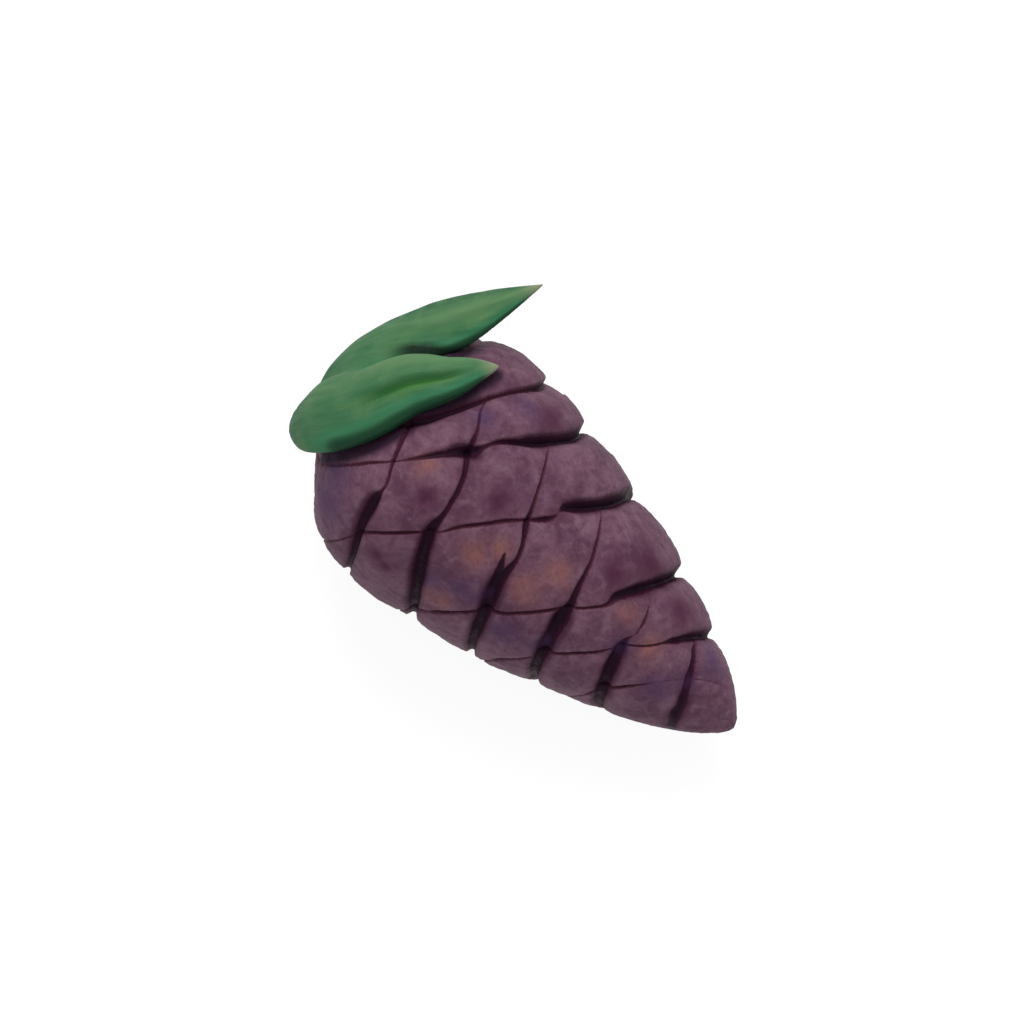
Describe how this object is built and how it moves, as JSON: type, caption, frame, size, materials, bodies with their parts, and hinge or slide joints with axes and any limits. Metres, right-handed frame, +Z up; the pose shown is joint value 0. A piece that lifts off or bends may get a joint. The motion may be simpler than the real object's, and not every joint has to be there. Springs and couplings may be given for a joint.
{
  "type": "modelling clay pine cone",
  "caption": "Small hand-made clay pine cone: a teardrop scored with crossing knife cuts into diamond pillows, with green clay leaves on its thick end, lying on its side.",
  "frame": {"origin": "on the table surface, under the middle of the whole object's box", "axes": "+Z up, +X towards the cone's pointed end, +Y towards the side over which the upper leaf stands out"},
  "size_m": [0.0578, 0.0369, 0.0283],
  "materials": {
    "cone_clay": "hand-rolled purple-brown modelling clay, slightly waxy, darker in the knife cuts",
    "leaf_clay": "hand-pressed green modelling clay, slightly waxy, with lighter streaks"
  },
  "bodies": {
    "root": {"cone_body": "cone_clay", "leaf_lower": "leaf_clay", "leaf_upper": "leaf_clay"}
  },
  "joints": []
}
